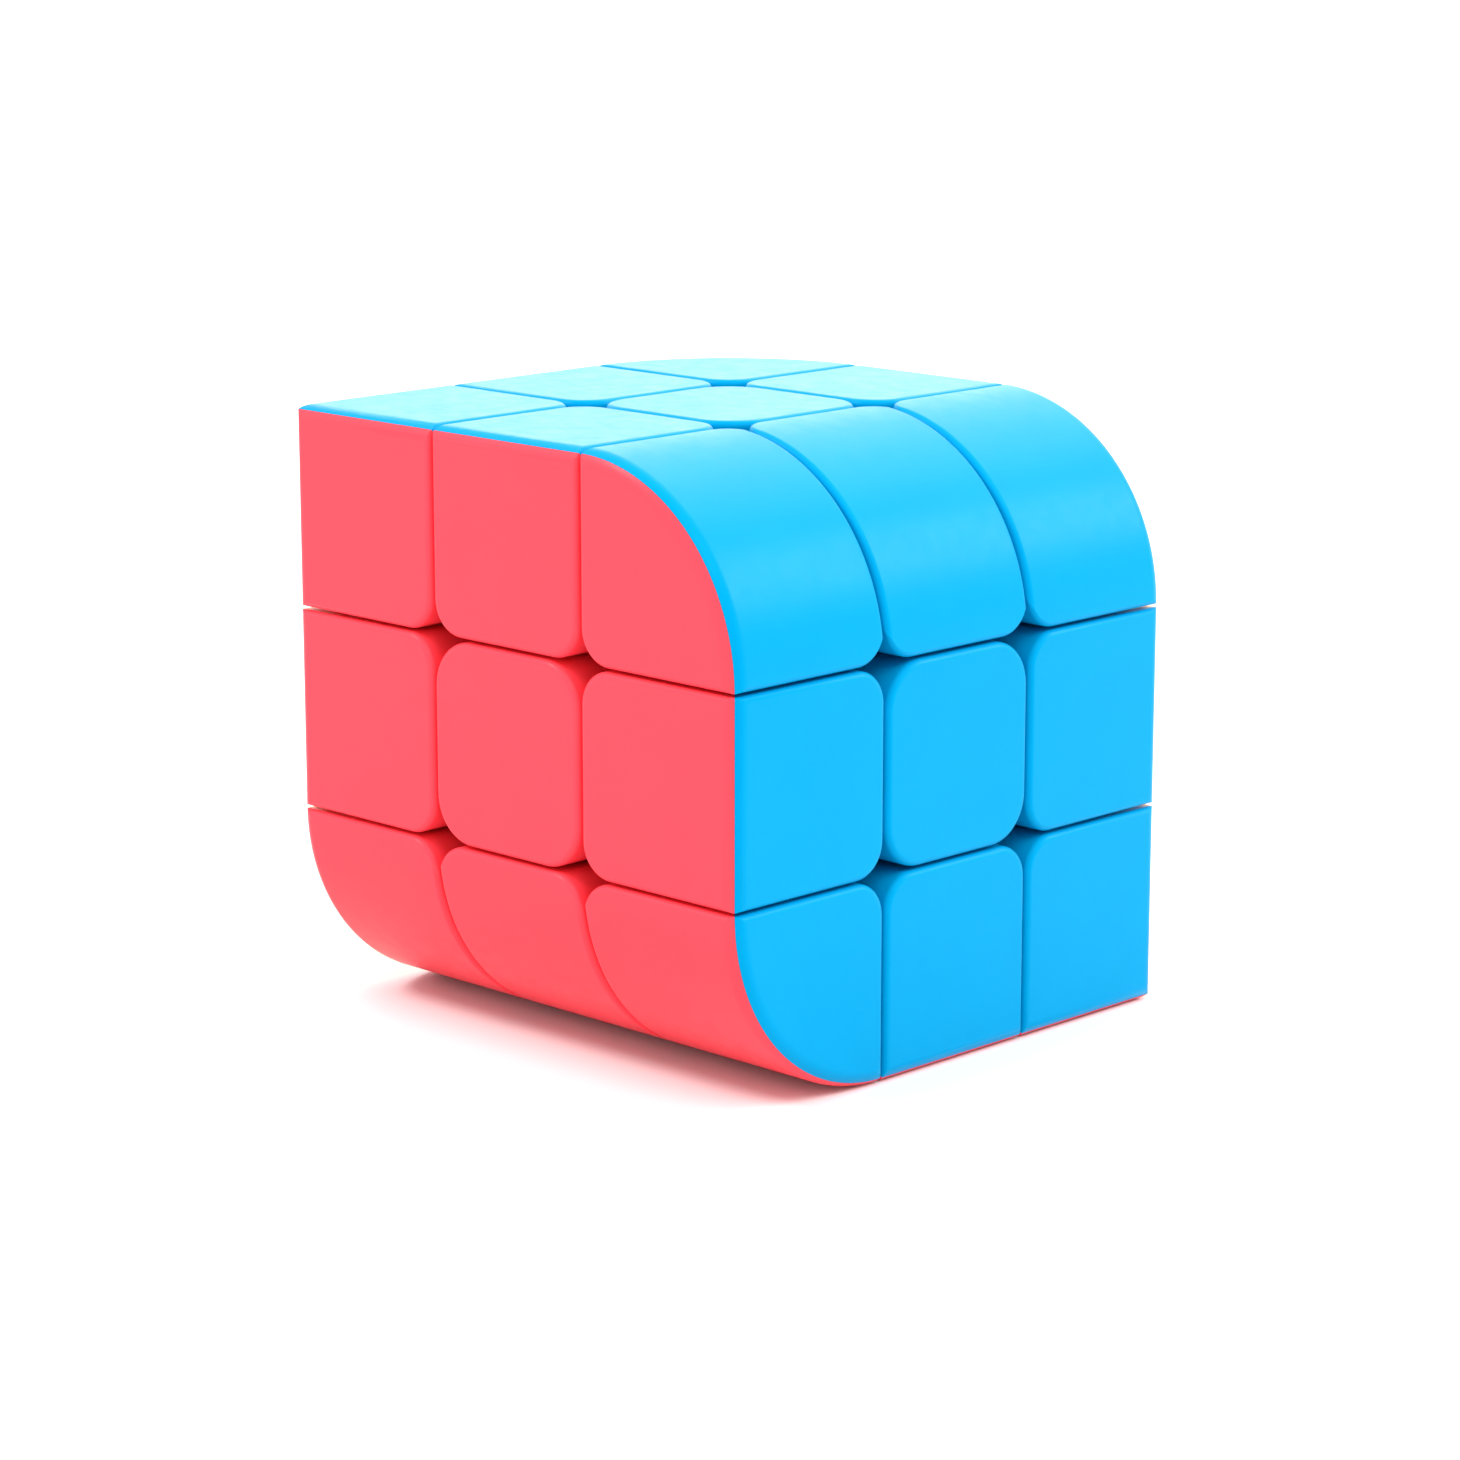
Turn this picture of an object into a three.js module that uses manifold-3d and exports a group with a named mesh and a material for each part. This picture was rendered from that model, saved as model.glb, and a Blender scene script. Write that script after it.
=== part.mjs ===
// A 3 x 3 x 3 twisty puzzle in the shape of a cube with three rounded edges that never meet.
//
// Each rounded edge joins two faces into one coloured surface, so six faces share three colours:
// top and right are blue, front and bottom are red, left and back are yellow. A six-armed core
// carries six sprung centres on screws. Edges hook under the centres, and corners under the edges.
//
// Units are millimetres, +Z is up, and the origin is where the six turning axes cross.
// The cuts between the pieces are planes and two spheres about the origin, so that every boundary
// of a layer is a surface of revolution about that layer's axis, and any layer can turn.
import * as THREE from "three";
import { mergeVertices } from "three/addons/utils/BufferGeometryUtils.js";
import Module from "manifold-3d";

const wasm = await Module();
wasm.setup();

// ---- Driving dimensions ----
const SIZE = 56; // across two opposite faces
const CLEAR = 0.15; // each piece stands back this far from a flat cut, so pieces run 0.3 apart
const BALL_CLEAR = 0.2; // the same at the two spheres
const SEAM = 0.05; // the same for two shells that are clipped together
const OUTER_R = 22; // sphere under which the corners hook
const INNER_R = 15; // sphere under which the edges hook
const FOOT_CUT = 6.6; // plane of the cut between the two spheres
const TIP_CUT = 4.4; // plane of the cut inside the inner sphere
const HOLE_ROUND = 3.2; // rounding of corners and edges where four pieces meet
const CENTRE_ROUND = 4.3; // the same on a centre
const WALL = 1.7; // moulded wall
const OVERLAP = 0.5; // shapes that are joined reach this far into each other

// ---- Worked out from them ----
const HALF = SIZE / 2;
const CUT = SIZE / 6; // plane of the cut outside the outer sphere
const BEND_R = SIZE / 3; // radius of a rounded edge
const NEAR = CUT + CLEAR;
const SIDE = CUT - CLEAR;
const FOOT_NEAR = FOOT_CUT + CLEAR;
const FOOT_SIDE = FOOT_CUT - CLEAR;
const TIP_NEAR = TIP_CUT + CLEAR;
const TIP_SIDE = TIP_CUT - CLEAR;
const HOLLOW_NEAR = NEAR + WALL;
const HOLLOW_SIDE = SIDE - WALL;
const HOLLOW_FAR = HALF - WALL;

// ---- Core, screw and spring, measured out along a centre's axis ----
const HUB_R = 5.6;
const ARM_R = 3.4;
const ARM_END = 9;
const PILOT_R = 1.5; // screw hole in an arm
const PILOT_END = 2.6;
const SHANK_R = 1.35;
const SHANK_START = 3;
const SHANK_TIP_R = 0.8;
const SHANK_TIP = 1.2; // length of the taper at the end of the shank
const HEAD_R = 2.9;
const HEAD_FLAT_R = 2.2;
const HEAD_SEAT = 18.5;
const HEAD_RIM = 19.7;
const HEAD_TOP = 20.5;
const DRIVE_WIDTH = 0.8;
const DRIVE_LENGTH = 3.4;
const DRIVE_DEPTH = 1.2;
const SPRING_R = 2.35; // to the middle of the wire
const WIRE_R = 0.33;
const SPRING_TURNS = 4;
const SPRING_GAP = 0.08; // between the spring and what it bears on
const COIL_CLOSING = 0.04; // how much closer the end coils lie

// ---- Centre base and cap ----
const STEM_START = ARM_END + 0.3;
const WELL_FLOOR = 12.4;
const WELL_R = 3.2;
const SHANK_HOLE_R = 1.7;
const BASE_TOP = 23.6;
const SOCKET_R = 6.15; // recess in the base for the cap's skirt
const SOCKET_FLOOR = 21.6;
const SKIRT_R = 5.9;
const SKIRT_WALL = 1;
const SKIRT_START = SOCKET_FLOOR + 0.3;
const LID_START = BASE_TOP + 2 * SEAM;
const LID_WALL = 1.8;

// ---- Pegs that hold shells together ----
const PEG_FIT = 0.2;
const EDGE_PEG_R = 1.1;
const EDGE_PEG_LENGTH = 1.8;
const EDGE_PEG_OUT = 12.4; // from the core, along the edge's diagonal
const EDGE_PEG_ALONG = 2.1; // from the middle of the edge
const POST_AT = CUT + 5.7; // corner post, from the planes of the two cuts beside it
const POST_R = 2.6;
const POST_TOP = 23;
const POST_PEG_R = 1.3;
const POST_PEG_START = 19.5;
const VENT_R = 2; // opening through a foot into the hollow behind it

// ---- Facets ----
const WELD = 1e-4; // corners of facets that are closer than this are one
const OUTER_DETAIL = 4; // icosahedron subdivisions
const INNER_DETAIL = 3;
const HUB_DETAIL = 1;
const ROUND_STEPS = 3; // per quarter turn of a small rounding
const BEND_STEPS = 10; // per quarter turn of a rounded edge
const TURNED_SIDES = 12;
const PEG_SIDES = 6;
const WIRE_SIDES = 4;
const WIRE_STEPS = 8; // per turn of the spring

// ---- Materials ----
const plastic = (color) => new THREE.MeshStandardMaterial({ color, roughness: 0.35, metalness: 0 });
const steel = (color) => new THREE.MeshStandardMaterial({ color, roughness: 0.3, metalness: 1 });
const BLUE = plastic(0x03b9fb);
const RED = plastic(0xfe5b68);
const YELLOW = plastic(0xffd21f);
const CORE_BLACK = plastic(0x1b1b1e);
const SCREW_STEEL = steel(0xb9bcc2);
const SPRING_STEEL = steel(0x8f949c);

const vector = (x, y, z) => new THREE.Vector3(x, y, z);
const point = (u, v) => new THREE.Vector2(u, v);

// ---- Solids: closed shapes, joined and cut ----
function solid(geometry) {
  const bare = geometry.clone();
  bare.deleteAttribute("normal");
  bare.deleteAttribute("uv");
  const merged = mergeVertices(bare, WELD);
  return new wasm.Manifold(
    new wasm.Mesh({
      numProp: 3,
      vertProperties: merged.getAttribute("position").array,
      triVerts: new Uint32Array(merged.index.array),
    }),
  );
}

function toGeometry(manifold) {
  const mesh = manifold.getMesh();
  const geometry = new THREE.BufferGeometry();
  geometry.setAttribute("position", new THREE.BufferAttribute(mesh.vertProperties, 3));
  geometry.setIndex(new THREE.BufferAttribute(mesh.triVerts, 1));
  const flat = geometry.toNonIndexed();
  flat.computeVertexNormals();
  return flat;
}

const joined = (...parts) => parts.reduce((sum, part) => sum.add(part));
const common = (...parts) => parts.reduce((sum, part) => sum.intersect(part));
const cut = (body, ...tools) => tools.reduce((left, tool) => left.subtract(tool), body);

function box(low, high) {
  const size = high.map((value, i) => value - low[i]);
  const middle = high.map((value, i) => (value + low[i]) / 2);
  return solid(new THREE.BoxGeometry(...size).translate(...middle));
}

const outerBall = (radius) => solid(new THREE.IcosahedronGeometry(radius, OUTER_DETAIL));
const innerBall = (radius) => solid(new THREE.IcosahedronGeometry(radius, INNER_DETAIL));

// A round bar along Z from low to high.
function barShape(radius, low, high, sides = TURNED_SIDES) {
  const turned = new THREE.CylinderGeometry(radius, radius, high - low, sides);
  return turned.rotateX(Math.PI / 2).translate(0, 0, (low + high) / 2);
}

const bar = (...sizes) => solid(barShape(...sizes));

// A profile of radius and height, turned about Z.
function turned(profile) {
  const points = profile.map(([radius, height]) => point(radius, height));
  return solid(new THREE.LatheGeometry(points, TURNED_SIDES).rotateX(Math.PI / 2));
}

// Turns the third axis of a shape to X, Y or Z, by stepping the axes round in order.
const TO_AXIS = {
  x: new THREE.Matrix4().makeBasis(vector(0, 1, 0), vector(0, 0, 1), vector(1, 0, 0)),
  y: new THREE.Matrix4().makeBasis(vector(0, 0, 1), vector(1, 0, 0), vector(0, 1, 0)),
  z: new THREE.Matrix4(),
};

// A rectangle's outline, anticlockwise from its low corner, with a radius at each corner.
function outline(low, high, radii) {
  const corners = [
    [low[0], low[1], 1, 1],
    [high[0], low[1], -1, 1],
    [high[0], high[1], -1, -1],
    [low[0], high[1], 1, -1],
  ];
  return corners.flatMap(([u, v, inU, inV], i) => {
    const radius = radii[i];
    if (!radius) return [point(u, v)];
    const steps = radius > HALF / 2 ? BEND_STEPS : ROUND_STEPS;
    return Array.from({ length: steps + 1 }, (_, k) => {
      const angle = Math.PI + (i + k / steps) * (Math.PI / 2);
      return point(
        u + inU * radius + radius * Math.cos(angle),
        v + inV * radius + radius * Math.sin(angle),
      );
    });
  });
}

// An outline drawn across one axis and extruded along it.
function prism(points, along, low = -SIZE, high = SIZE) {
  const shape = new THREE.Shape(points);
  const extruded = new THREE.ExtrudeGeometry(shape, { depth: high - low, bevelEnabled: false });
  return solid(extruded.translate(0, 0, low).applyMatrix4(TO_AXIS[along]));
}

// ---- Edge: local +X and +Y are its two faces, and it runs along Z ----
function edgeBlock(near, side, far, bend, round) {
  return common(
    prism(outline([near, -side], [far, side], [round, 0, 0, round]), "x"),
    prism(outline([-side, near], [side, far], [round, round, 0, 0]), "y"),
    prism(outline([0, 0], [far, far], [0, 0, bend, 0]), "z"),
  );
}

// The part inside the outer sphere, which the centres and corners hook on to.
function edgeHook() {
  const neck = box([NEAR, NEAR, -FOOT_SIDE], [OUTER_R, OUTER_R, FOOT_SIDE]);
  const foot = box([FOOT_NEAR, FOOT_NEAR, -FOOT_SIDE], [OUTER_R, OUTER_R, FOOT_SIDE]);
  const ankle = box([FOOT_NEAR, FOOT_NEAR, -TIP_SIDE], [INNER_R, INNER_R, TIP_SIDE]);
  const tip = box([TIP_NEAR, TIP_NEAR, -TIP_SIDE], [INNER_R, INNER_R, TIP_SIDE]);
  const upper = joined(
    neck.intersect(outerBall(OUTER_R + OVERLAP)),
    foot.intersect(outerBall(OUTER_R - BALL_CLEAR)),
  );
  return joined(
    upper.subtract(innerBall(INNER_R + BALL_CLEAR)),
    ankle.intersect(innerBall(INNER_R + 2 * OVERLAP)),
    tip.intersect(innerBall(INNER_R - BALL_CLEAR)),
  );
}

// The space behind the walls, clear of the outer sphere, and its way down into the hook.
function edgeHollow(bend) {
  const start = (OUTER_R + WALL) * Math.SQRT2;
  const beyond = prism([point(start, 0), point(start, start), point(0, start)], "z");
  const high = OUTER_R - WALL;
  const side = FOOT_SIDE - WALL;
  return joined(
    edgeBlock(HOLLOW_NEAR, HOLLOW_SIDE, HOLLOW_FAR, bend, 0).intersect(beyond),
    box([HOLLOW_NEAR, HOLLOW_NEAR, -side], [high, high, side]),
  );
}

function edgeBody(bend) {
  const block = edgeBlock(NEAR, SIDE, HALF, bend, HOLE_ROUND);
  const whole = block.subtract(outerBall(OUTER_R + BALL_CLEAR)).add(edgeHook());
  return whole.subtract(edgeHollow(bend && bend - WALL));
}

// A pin across the plane where an edge's two halves meet, from low to high towards local +X.
function edgePin(radius, low, high, along) {
  const out = EDGE_PEG_OUT * Math.SQRT1_2;
  const pin = new THREE.CylinderGeometry(radius, radius, high - low, PEG_SIDES);
  pin.translate(0, (low + high) / 2, 0).rotateZ((-3 * Math.PI) / 4);
  return solid(pin.translate(out, out, along));
}

// Half of an edge, on the side of its +X face. Turned over, the same half is the +Y one.
function edgeHalf() {
  const seam = SEAM * Math.SQRT2;
  const wedge = prism([point(seam, 0), point(seam + SIZE, 0), point(seam + SIZE, SIZE)], "z");
  const peg = edgePin(EDGE_PEG_R, -EDGE_PEG_LENGTH, WALL, EDGE_PEG_ALONG);
  const socketEnd = EDGE_PEG_LENGTH + PEG_FIT;
  const socket = edgePin(EDGE_PEG_R + PEG_FIT, -WALL, socketEnd, -EDGE_PEG_ALONG);
  return edgeBody(0).intersect(wedge).add(peg).subtract(socket);
}

// An edge in one colour, hollowed through a vent in its foot.
function roundedEdge() {
  const vent = barShape(VENT_R, 0, OUTER_R + WALL, PEG_SIDES);
  vent.rotateY(Math.PI / 2).rotateZ(Math.PI / 4);
  return edgeBody(BEND_R).subtract(solid(vent));
}

// ---- Corner: local +X, +Y and +Z are its faces, and a rounded edge joins +X and +Y ----
function cornerBlock(near, far, bend, round) {
  const square = outline([near, near], [far, far], [round, 0, 0, 0]);
  const bent = outline([0, 0], [far, far], [0, 0, bend, 0]);
  return common(prism(square, "x"), prism(square, "y"), prism(square, "z"), prism(bent, "z"));
}

function cornerBody(bend) {
  const block = cornerBlock(NEAR, HALF, bend, HOLE_ROUND);
  const foot = box([FOOT_NEAR, FOOT_NEAR, FOOT_NEAR], [OUTER_R, OUTER_R, OUTER_R]);
  const whole = block.add(foot.intersect(outerBall(OUTER_R - BALL_CLEAR)));
  const hollow = cornerBlock(HOLLOW_NEAR, HOLLOW_FAR, bend && bend - WALL, 0);
  return cut(whole, innerBall(INNER_R + BALL_CLEAR), hollow);
}

// The cone from the inner corner through the rim of the +Z face, moved up by an offset.
function mitre(offset) {
  const cone = new THREE.ConeGeometry(SIZE, SIZE, 4 * BEND_STEPS);
  cone.rotateX(-Math.PI / 2).translate(CUT, CUT, CUT + SIZE / 2 + offset * Math.SQRT2);
  return solid(cone);
}

// The shell that carries the rounded surface, the foot and a post.
function cornerShell() {
  const capSide = mitre(-SEAM).subtract(outerBall(OUTER_R - SEAM));
  const post = barShape(POST_R, HOLLOW_NEAR - OVERLAP, POST_TOP).translate(POST_AT, POST_AT, 0);
  const socketR = POST_PEG_R + PEG_FIT;
  const socket = barShape(socketR, POST_PEG_START - OVERLAP, HALF).translate(POST_AT, POST_AT, 0);
  return cornerBody(BEND_R).subtract(capSide).add(solid(post)).subtract(solid(socket));
}

// The cap that carries the flat +Z face, with a peg for the post.
function cornerCap() {
  const capSide = mitre(SEAM).subtract(outerBall(OUTER_R + SEAM));
  const pegEnd = HOLLOW_FAR + OVERLAP;
  const peg = barShape(POST_PEG_R, POST_PEG_START, pegEnd).translate(POST_AT, POST_AT, 0);
  return cornerBody(BEND_R).intersect(capSide).add(solid(peg));
}

// A corner with three sharp edges, hollowed through a vent in its foot.
function sharpCorner() {
  const vent = new THREE.CylinderGeometry(VENT_R, VENT_R, OUTER_R, PEG_SIDES);
  const diagonal = vector(1, 1, 1).normalize();
  vent.translate(0, OUTER_R / 2, 0);
  vent.applyQuaternion(new THREE.Quaternion().setFromUnitVectors(vector(0, 1, 0), diagonal));
  return cornerBody(0).subtract(solid(vent));
}

// ---- Centre: local +Z is its face ----
const square = (side, radius) => outline([-side, -side], [side, side], Array(4).fill(radius));

function centreBase() {
  const rim = prism(square(SIDE, CENTRE_ROUND), "z", OUTER_R / 2, BASE_TOP);
  const middle = prism(square(FOOT_SIDE, 0), "z", INNER_R / 2, BASE_TOP);
  const body = joined(
    rim.subtract(outerBall(OUTER_R + BALL_CLEAR)),
    middle.subtract(innerBall(INNER_R + BALL_CLEAR)),
    bar(TIP_SIDE, STEM_START, INNER_R + WALL),
  );
  return cut(
    body,
    bar(SHANK_HOLE_R, 0, WELL_FLOOR + OVERLAP),
    bar(WELL_R, WELL_FLOOR, HALF),
    bar(SOCKET_R, SOCKET_FLOOR, HALF),
  );
}

function centreCap() {
  const under = HALF - LID_WALL;
  const lid = prism(square(SIDE, CENTRE_ROUND), "z", LID_START, HALF);
  const hollow = prism(square(HOLLOW_SIDE, CENTRE_ROUND - WALL), "z", 0, under);
  const skirt = bar(SKIRT_R, SKIRT_START, under + OVERLAP);
  const inside = bar(SKIRT_R - SKIRT_WALL, 0, under);
  return lid.subtract(hollow).add(skirt).subtract(inside);
}

// ---- Core, screw and spring ----
function core() {
  const arms = [];
  const pilots = [];
  for (const along of ["x", "y", "z"]) {
    for (const flip of [0, Math.PI]) {
      const arm = barShape(ARM_R, 0, ARM_END).rotateX(flip);
      const pilot = barShape(PILOT_R, PILOT_END, ARM_END + OVERLAP).rotateX(flip);
      arms.push(solid(arm.applyMatrix4(TO_AXIS[along])));
      pilots.push(solid(pilot.applyMatrix4(TO_AXIS[along])));
    }
  }
  const hub = solid(new THREE.IcosahedronGeometry(HUB_R, HUB_DETAIL));
  return cut(joined(hub, ...arms), ...pilots);
}

function screw() {
  const blank = turned([
    [0, SHANK_START],
    [SHANK_TIP_R, SHANK_START],
    [SHANK_R, SHANK_START + SHANK_TIP],
    [SHANK_R, HEAD_SEAT],
    [HEAD_R, HEAD_SEAT],
    [HEAD_R, HEAD_RIM],
    [HEAD_FLAT_R, HEAD_TOP],
    [0, HEAD_TOP],
  ]);
  const [a, b, low] = [DRIVE_LENGTH / 2, DRIVE_WIDTH / 2, HEAD_TOP - DRIVE_DEPTH];
  return cut(blank, box([-a, -b, low], [a, b, HALF]), box([-b, -a, low], [b, a, HALF]));
}

class SpringLine extends THREE.Curve {
  getPoint(t, target = new THREE.Vector3()) {
    const low = WELL_FLOOR + SPRING_GAP + WIRE_R;
    const high = HEAD_SEAT - SPRING_GAP - WIRE_R;
    const angle = t * SPRING_TURNS * 2 * Math.PI;
    const rise = t - COIL_CLOSING * Math.sin(2 * Math.PI * t);
    const height = low + (high - low) * rise;
    return target.set(SPRING_R * Math.cos(angle), SPRING_R * Math.sin(angle), height);
  }
}

function spring() {
  const section = Array.from({ length: WIRE_SIDES }, (_, k) => {
    const angle = (k / WIRE_SIDES) * 2 * Math.PI;
    return point(WIRE_R * Math.cos(angle), WIRE_R * Math.sin(angle));
  });
  const wire = new THREE.ExtrudeGeometry(new THREE.Shape(section), {
    steps: SPRING_TURNS * WIRE_STEPS,
    extrudePath: new SpringLine(),
    bevelEnabled: false,
  });
  return solid(wire);
}

// ---- The assembly ----
const FACES = {
  right: { normal: vector(1, 0, 0), colour: BLUE, colourName: "blue" },
  left: { normal: vector(-1, 0, 0), colour: YELLOW, colourName: "yellow" },
  back: { normal: vector(0, 1, 0), colour: YELLOW, colourName: "yellow" },
  front: { normal: vector(0, -1, 0), colour: RED, colourName: "red" },
  top: { normal: vector(0, 0, 1), colour: BLUE, colourName: "blue" },
  bottom: { normal: vector(0, 0, -1), colour: RED, colourName: "red" },
};

const SHAPES = {
  centreBase: toGeometry(centreBase()),
  centreCap: toGeometry(centreCap()),
  screw: toGeometry(screw()),
  spring: toGeometry(spring()),
  edgeHalf: toGeometry(edgeHalf()),
  roundedEdge: toGeometry(roundedEdge()),
  cornerShell: toGeometry(cornerShell()),
  cornerCap: toGeometry(cornerCap()),
  sharpCorner: toGeometry(sharpCorner()),
};

const puzzle = new THREE.Group();
puzzle.name = "twisty_puzzle";

// Adds a named mesh, turned so that its local X and Y point along the given directions.
function place(parent, name, geometry, material, x, y) {
  const mesh = new THREE.Mesh(geometry, material);
  mesh.name = name;
  const turn = new THREE.Matrix4().makeBasis(x, y, x.clone().cross(y));
  mesh.quaternion.setFromRotationMatrix(turn);
  parent.add(mesh);
}

// Three directions, with the first two swapped if that makes them a right-handed set.
const rightHanded = (p, q, r) => (p.clone().cross(q).dot(r) > 0 ? [p, q] : [q, p]);

// A rounded edge lies between each two faces of one colour.
const isBend = (a, b) => FACES[a].colour === FACES[b].colour;

function addCentre(face) {
  const group = new THREE.Group();
  const { normal, colour } = FACES[face];
  const x = vector(normal.y, normal.z, normal.x);
  const y = normal.clone().cross(x);
  place(group, `centre_${face}_base`, SHAPES.centreBase, colour, x, y);
  place(group, `centre_${face}_cap`, SHAPES.centreCap, colour, x, y);
  place(group, `spring_${face}`, SHAPES.spring, SPRING_STEEL, x, y);
  place(group, `screw_${face}`, SHAPES.screw, SCREW_STEEL, x, y);
  puzzle.add(group);
}

function addEdge(a, b) {
  const group = new THREE.Group();
  const name = `edge_${a}_${b}`;
  const [faceA, faceB] = [FACES[a], FACES[b]];
  const [x, y] = [faceA.normal, faceB.normal];
  if (isBend(a, b)) {
    place(group, name, SHAPES.roundedEdge, faceA.colour, x, y);
  } else {
    place(group, `${name}_${faceA.colourName}_half`, SHAPES.edgeHalf, faceA.colour, x, y);
    place(group, `${name}_${faceB.colourName}_half`, SHAPES.edgeHalf, faceB.colour, y, x);
  }
  puzzle.add(group);
}

function addCorner(...faces) {
  const group = new THREE.Group();
  const name = `corner_${faces.join("_")}`;
  const flat = faces.find((face) => faces.every((other) => other === face || !isBend(face, other)));
  const [a, b] = faces.filter((face) => face !== flat);
  const [shell, cap] = [FACES[a], FACES[flat]];
  const [x, y] = rightHanded(shell.normal, FACES[b].normal, cap.normal);
  if (isBend(a, b)) {
    place(group, `${name}_${shell.colourName}_shell`, SHAPES.cornerShell, shell.colour, x, y);
    place(group, `${name}_${cap.colourName}_cap`, SHAPES.cornerCap, cap.colour, x, y);
  } else {
    place(group, name, SHAPES.sharpCorner, shell.colour, x, y);
  }
  puzzle.add(group);
}

place(puzzle, "core", toGeometry(core()), CORE_BLACK, vector(1, 0, 0), vector(0, 1, 0));
for (const face of Object.keys(FACES)) addCentre(face);
for (const depth of ["front", "back"]) {
  for (const side of ["left", "right"]) addEdge(depth, side);
}
for (const level of ["top", "bottom"]) {
  for (const side of ["front", "back", "left", "right"]) addEdge(level, side);
  for (const depth of ["front", "back"]) {
    for (const side of ["left", "right"]) addCorner(level, depth, side);
  }
}

export default puzzle;
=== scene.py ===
"""A twisty puzzle of three layers each way, in the shape of a cube with three rounded edges.

Each kind of piece is made once, as a closed mesh in millimetres, in a local frame that puts its
faces on the local axes. It is then turned into each of its places on the puzzle, where it rides on
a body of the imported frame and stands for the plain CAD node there.
"""
import math
import bpy
import bmesh
from mathutils import Matrix, Vector


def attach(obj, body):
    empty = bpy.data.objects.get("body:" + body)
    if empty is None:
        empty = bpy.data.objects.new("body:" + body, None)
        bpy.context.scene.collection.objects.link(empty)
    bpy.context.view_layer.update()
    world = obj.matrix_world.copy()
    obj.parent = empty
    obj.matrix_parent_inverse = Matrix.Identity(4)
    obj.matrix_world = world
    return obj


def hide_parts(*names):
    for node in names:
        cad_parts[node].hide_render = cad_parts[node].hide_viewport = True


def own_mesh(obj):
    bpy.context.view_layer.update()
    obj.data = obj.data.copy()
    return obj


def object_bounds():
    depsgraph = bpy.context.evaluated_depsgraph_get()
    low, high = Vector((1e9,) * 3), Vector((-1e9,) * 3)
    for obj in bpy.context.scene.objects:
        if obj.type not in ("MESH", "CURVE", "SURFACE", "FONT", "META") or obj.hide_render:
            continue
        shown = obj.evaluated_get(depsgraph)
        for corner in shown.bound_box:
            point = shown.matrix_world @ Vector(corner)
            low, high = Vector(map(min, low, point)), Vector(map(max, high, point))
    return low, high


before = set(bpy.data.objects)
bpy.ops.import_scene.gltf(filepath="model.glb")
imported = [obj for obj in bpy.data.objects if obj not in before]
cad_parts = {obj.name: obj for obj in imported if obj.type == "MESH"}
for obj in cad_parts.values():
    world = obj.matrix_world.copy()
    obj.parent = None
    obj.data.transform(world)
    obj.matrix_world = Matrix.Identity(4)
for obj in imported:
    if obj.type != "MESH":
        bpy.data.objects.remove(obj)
cad_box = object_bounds()

MM = 0.001

# ---- Driving dimensions, in millimetres, the same as the CAD part's ----
HALF = round(cad_box[1][2] / MM, 3)  # from the centre to a face
CLEAR = 0.15  # each piece stands back this far from a flat cut
BALL_CLEAR = 0.2  # the same at the two spheres
OUTER_R = 22  # sphere under which the corners hook
INNER_R = 15  # sphere under which the edges hook
FOOT_CUT = 6.6  # plane of the cut between the two spheres
TIP_CUT = 4.4  # plane of the cut inside the inner sphere
HOLE_ROUND = 3.2  # rounding of corners and edges where four pieces meet
CENTRE_ROUND = 4.3  # the same on a centre
WALL = 1.7  # moulded wall
OVERLAP = 0.5  # shapes that are joined reach this far into each other
MARGIN = 2  # shapes that bound a piece reach this far past its faces

# ---- Finish of the mouldings ----
SEAM = 0.015  # two shells in one piece stand back this far from their mitre
RIM = 0.6  # rounding along the rim of a tile
ARRIS = 1.6  # rounding along an edge between two faces
MOUTH = 0.3  # chamfer on the end of an arm, and on a screw head

# ---- Worked out from them ----
CUT = HALF / 3  # plane of the cut between two layers
BEND_R = HALF - CUT  # radius of a rounded edge
NEAR = CUT + CLEAR  # where an outer layer's pieces start
SIDE = CUT - CLEAR  # where a middle layer's pieces end
FOOT_NEAR = FOOT_CUT + CLEAR
FOOT_SIDE = FOOT_CUT - CLEAR
TIP_NEAR = TIP_CUT + CLEAR
TIP_SIDE = TIP_CUT - CLEAR
HOLLOW_NEAR = NEAR + WALL
HOLLOW_SIDE = SIDE - WALL
HOLLOW_FAR = HALF - WALL

# ---- Core, screw and spring, measured out along a centre's axis ----
HUB_R = 5.6
ARM_R = 3.4
ARM_END = 9
PILOT_R = 1.5  # of the hole in an arm that the screw bites into
PILOT_END = 2.6
SHANK_R = 1.35
SHANK_START = 3
SHANK_TIP_R = 0.8
SHANK_TIP = 1.2  # length of the taper to the tip
THREAD_END = 9.6
THREAD_PITCH = 0.6
THREAD_DEPTH = 0.22
THREAD_CREST_R = 1.44
HEAD_R = 2.9
HEAD_FLAT_R = 2.2  # of the flat top, inside the bevel
HEAD_SEAT = 18.5
HEAD_RIM = 19.7
HEAD_TOP = 20.5
DRIVE_WIDTH = 0.8  # of the cross recess
DRIVE_LENGTH = 3.4
DRIVE_DEPTH = 1.2
SPRING_R = 2.35  # to the middle of the wire
WIRE_R = 0.33
SPRING_TURNS = 4
SPRING_GAP = 0.08  # from the wire to the well's floor and to the screw head
COIL_CLOSING = 0.04  # how far the end coils are drawn together, as a share of the length

# ---- Centre base and cap ----
STEM_START = ARM_END + 0.3
WELL_FLOOR = 12.4  # of the well that holds the spring
WELL_R = 3.2
SHANK_HOLE_R = 1.7
BASE_TOP = 23.6
SOCKET_R = 6.15  # of the recess that takes the cap's skirt
SOCKET_FLOOR = 21.6
SKIRT_R = 5.9
SKIRT_WALL = 1
SKIRT_START = SOCKET_FLOOR + 0.3
LID_START = BASE_TOP + 0.1
LID_WALL = 1.8

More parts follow.
